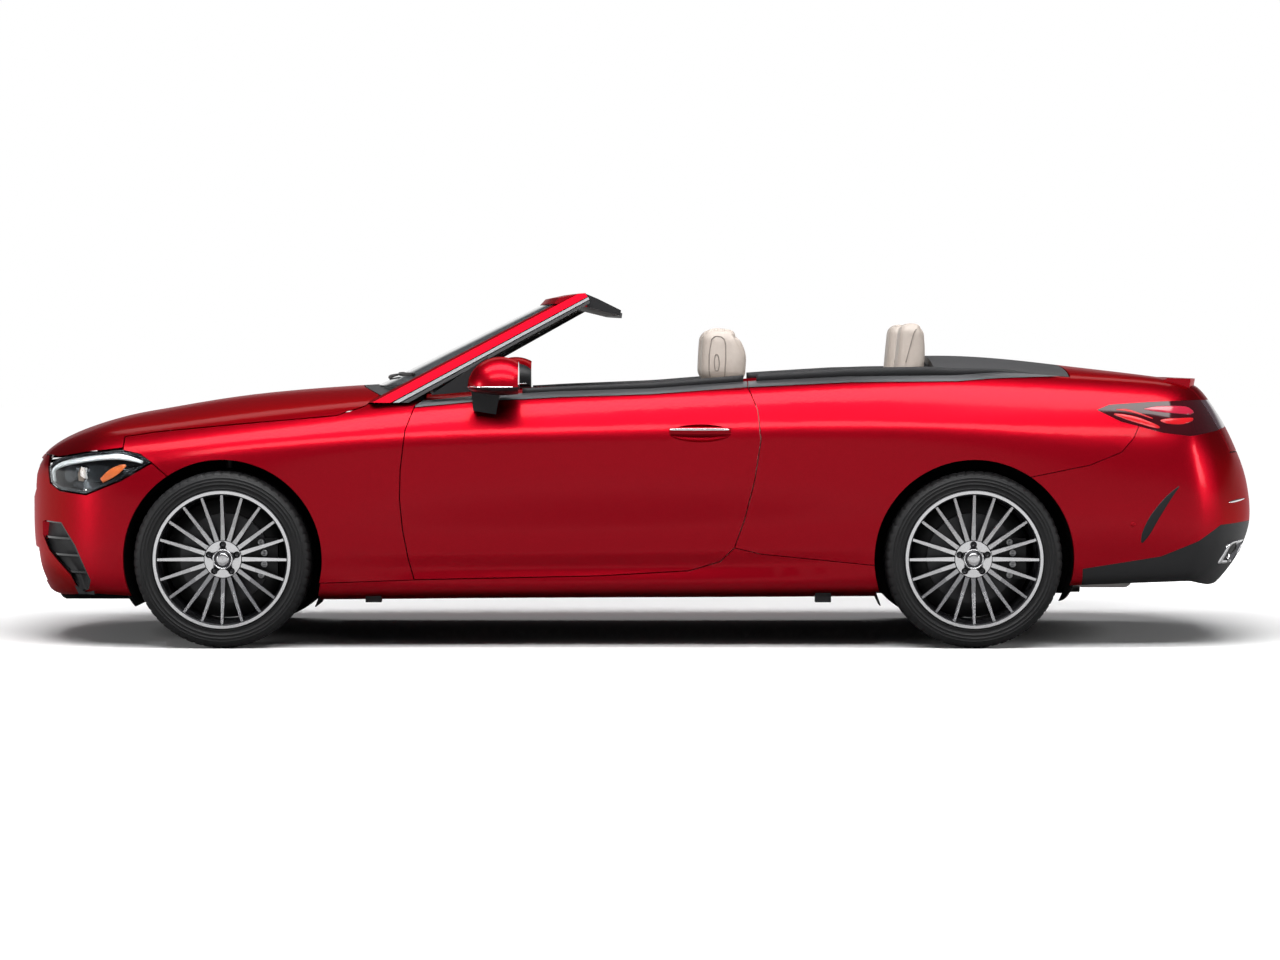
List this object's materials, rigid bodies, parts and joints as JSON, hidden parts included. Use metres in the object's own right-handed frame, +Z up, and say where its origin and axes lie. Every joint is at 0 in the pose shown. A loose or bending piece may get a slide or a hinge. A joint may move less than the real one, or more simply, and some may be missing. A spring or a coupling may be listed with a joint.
{
  "type": "convertible car",
  "caption": "Open convertible car with its soft top stowed: the doors, bonnet, boot lid and roof cover open, the wheels roll and the front ones steer with the steering wheel.",
  "frame": {"origin": "on the ground, at mid-length on the centreline", "axes": "+X to the rear, so the nose points to -X; +Y to the car's right; +Z up"},
  "size_m": [4.849, 2.0392, 1.3593],
  "materials": {
    "body_paint": "gloss",
    "black_trim": "matte",
    "black_gloss": "gloss",
    "satin_trim": "satin",
    "chrome_trim": "polished",
    "lamp_clear": "gloss",
    "lamp_red": "gloss",
    "lamp_house": "gloss",
    "screen_glass": "gloss",
    "under_body": "matte",
    "tyre_rubber": "matte",
    "wheel_alloy": "gloss",
    "cast_metal": "matte",
    "cabin_plastic": "matte",
    "seat_leather": "satin",
    "roof_fabric": "matte",
    "engine_metal": "matte",
    "pipe_steel": "satin"
  },
  "bodies": {
    "car_body": {"front_wings": "body_paint", "cowl": "black_trim", "quarter_mouldings": "satin_trim", "rear_quarters": "body_paint", "sills": "body_paint", "front_bumper": "body_paint", "rear_bumper": "body_paint", "diffuser": "black_trim", "grilles": "black_gloss", "tail_lamps": "lamp_red", "headlamp_lenses": "lamp_clear", "headlamp_housings": "lamp_house", "windscreen_frame": "body_paint", "pillar_trims": "satin_trim", "pillar_seals": "black_trim", "windscreen": "screen_glass", "underbody": "under_body", "arch_liners": "black_trim", "front_suspension": "cast_metal", "rear_axle": "cast_metal", "dashboard": "cabin_plastic", "console": "cabin_plastic", "front_seat_left": "seat_leather", "front_seat_right": "seat_leather", "rear_seats": "seat_leather", "side_linings": "seat_leather", "folded_roof": "roof_fabric", "engine": "engine_metal", "radiator": "engine_metal", "exhaust": "pipe_steel", "exhaust_trims": "chrome_trim"},
    "bonnet_body": {"bonnet": "body_paint"},
    "boot_lid_body": {"boot_lid": "body_paint", "lid_lamps": "lamp_red"},
    "roof_cover_body": {"roof_cover": "black_trim"},
    "left_door": {"door_left": "body_paint", "door_lining_left": "seat_leather", "mirror_left": "body_paint", "door_moulding_left": "satin_trim"},
    "right_door": {"door_right": "body_paint", "door_lining_right": "seat_leather", "mirror_right": "body_paint", "door_moulding_right": "satin_trim"},
    "left_knuckle": {"knuckle_left": "cast_metal"},
    "right_knuckle": {"knuckle_right": "cast_metal"},
    "steering": {"steering_wheel": "cabin_plastic"},
    "wheel_front_left": {"tyre_front_left": "tyre_rubber", "rim_front_left": "wheel_alloy"},
    "wheel_front_right": {"tyre_front_right": "tyre_rubber", "rim_front_right": "wheel_alloy"},
    "wheel_rear_left": {"tyre_rear_left": "tyre_rubber", "rim_rear_left": "wheel_alloy"},
    "wheel_rear_right": {"tyre_rear_right": "tyre_rubber", "rim_rear_right": "wheel_alloy"}
  },
  "joints": [
    {"name": "left_door_hinge", "type": "hinge", "parent": "car_body", "child": "left_door", "pos_m": [-0.9155, -0.908, 0.6], "axis": [0, 0, -1], "range_deg": [0, 65]},
    {"name": "right_door_hinge", "type": "hinge", "parent": "car_body", "child": "right_door", "pos_m": [-0.9155, 0.908, 0.6], "axis": [0, 0, 1], "range_deg": [0, 65]},
    {"name": "bonnet_hinge", "type": "hinge", "parent": "car_body", "child": "bonnet_body", "pos_m": [-0.868, 0, 0.97], "axis": [0, 1, 0], "range_deg": [0, 52]},
    {"name": "boot_lid_hinge", "type": "hinge", "parent": "car_body", "child": "boot_lid_body", "pos_m": [1.595, 0, 1.07], "axis": [0, -1, 0], "range_deg": [0, 78]},
    {"name": "roof_cover_hinge", "type": "hinge", "parent": "car_body", "child": "roof_cover_body", "pos_m": [1.715, 0, 1.07], "axis": [0, -1, 0], "range_deg": [-45, 0]},
    {"name": "left_steering_pin", "type": "hinge", "parent": "car_body", "child": "left_knuckle", "pos_m": [-1.592, -0.737, 0.3395], "axis": [0, 0, 1], "range_deg": [-37, 37]},
    {"name": "right_steering_pin", "type": "hinge", "parent": "car_body", "child": "right_knuckle", "pos_m": [-1.592, 0.737, 0.3395], "axis": [0, 0, 1], "range_deg": [-37, 37]},
    {"name": "steering_column", "type": "hinge", "parent": "car_body", "child": "steering", "pos_m": [-0.415, -0.365, 0.8109], "axis": [0.9135, 0, 0.4067], "range_deg": [-520, 520]},
    {"name": "front_left_hub", "type": "hinge", "parent": "left_knuckle", "child": "wheel_front_left", "pos_m": [-1.592, -0.797, 0.3395], "axis": [0, 1, 0], "continuous": true},
    {"name": "front_right_hub", "type": "hinge", "parent": "right_knuckle", "child": "wheel_front_right", "pos_m": [-1.592, 0.797, 0.3395], "axis": [0, 1, 0], "continuous": true},
    {"name": "rear_left_hub", "type": "hinge", "parent": "car_body", "child": "wheel_rear_left", "pos_m": [1.273, -0.797, 0.3395], "axis": [0, 1, 0], "continuous": true},
    {"name": "rear_right_hub", "type": "hinge", "parent": "car_body", "child": "wheel_rear_right", "pos_m": [1.273, 0.797, 0.3395], "axis": [0, 1, 0], "continuous": true}
  ],
  "couplings": [
    {"joint": "right_steering_pin", "follows": "left_steering_pin", "ratio": 1},
    {"joint": "steering_column", "follows": "left_steering_pin", "ratio": 14}
  ]
}
